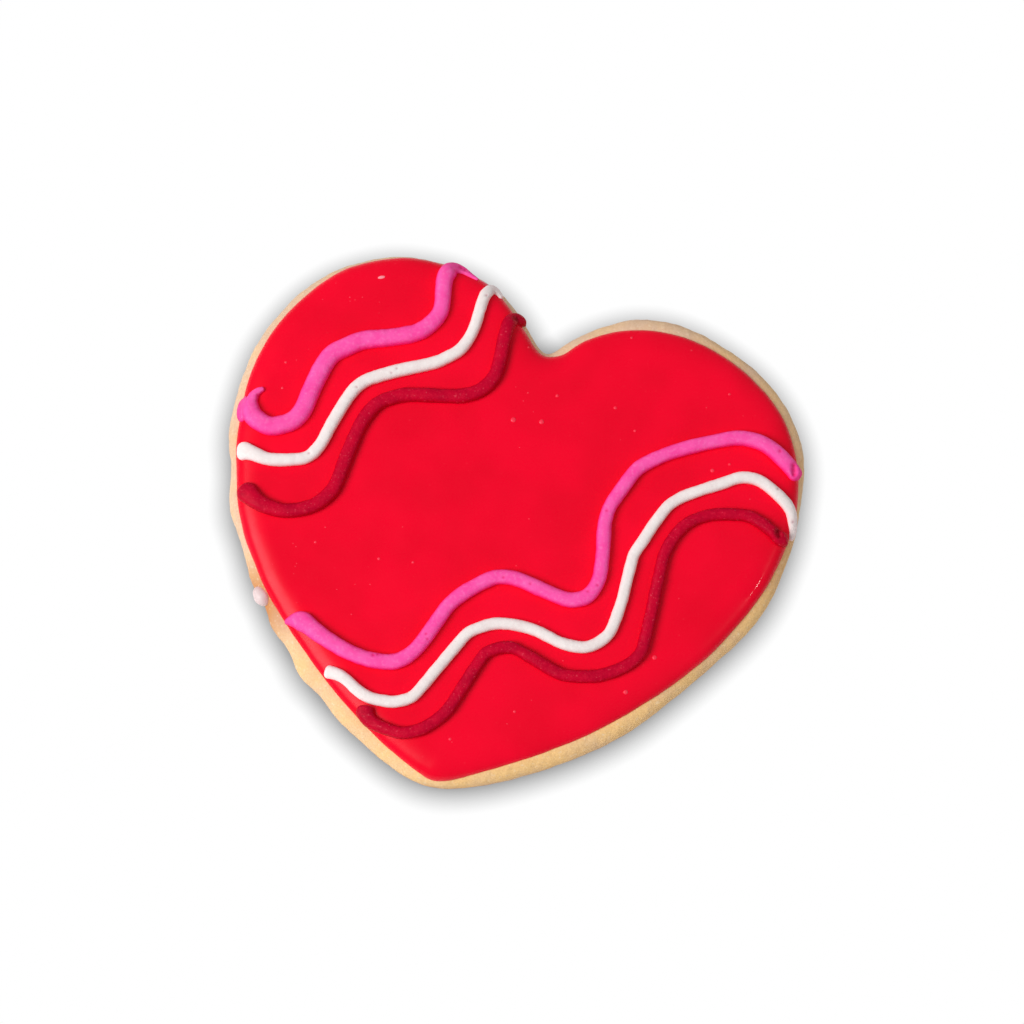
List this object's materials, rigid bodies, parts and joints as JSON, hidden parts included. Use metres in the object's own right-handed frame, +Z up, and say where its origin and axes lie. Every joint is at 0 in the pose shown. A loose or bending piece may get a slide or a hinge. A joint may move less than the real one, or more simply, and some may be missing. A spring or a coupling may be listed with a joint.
{
  "type": "iced sugar cookie",
  "caption": "Heart-shaped sugar cookie: a flat baked biscuit under glossy red icing, with wavy piped lines in pink, white and dark red.",
  "frame": {"origin": "middle of the bounding box on the plane the cookie lies on", "axes": "+Z up out of the iced face, +X across the heart's two lobes, +Y from the heart's point to its notch"},
  "size_m": [0.0905, 0.0807, 0.0099],
  "materials": {
    "biscuit": "matte baked crumb",
    "red_icing": "satin gloss set icing",
    "pink_piping": "matte set icing",
    "white_piping": "matte set icing",
    "dark_piping": "matte set icing",
    "drop": "matte set icing"
  },
  "bodies": {
    "root": {"biscuit": "biscuit", "red_icing": "red_icing", "pink_line_upper": "pink_piping", "white_line_upper": "white_piping", "dark_line_upper": "dark_piping", "pink_line_lower": "pink_piping", "white_line_lower": "white_piping", "dark_line_lower": "dark_piping", "icing_drop": "drop"}
  },
  "joints": []
}
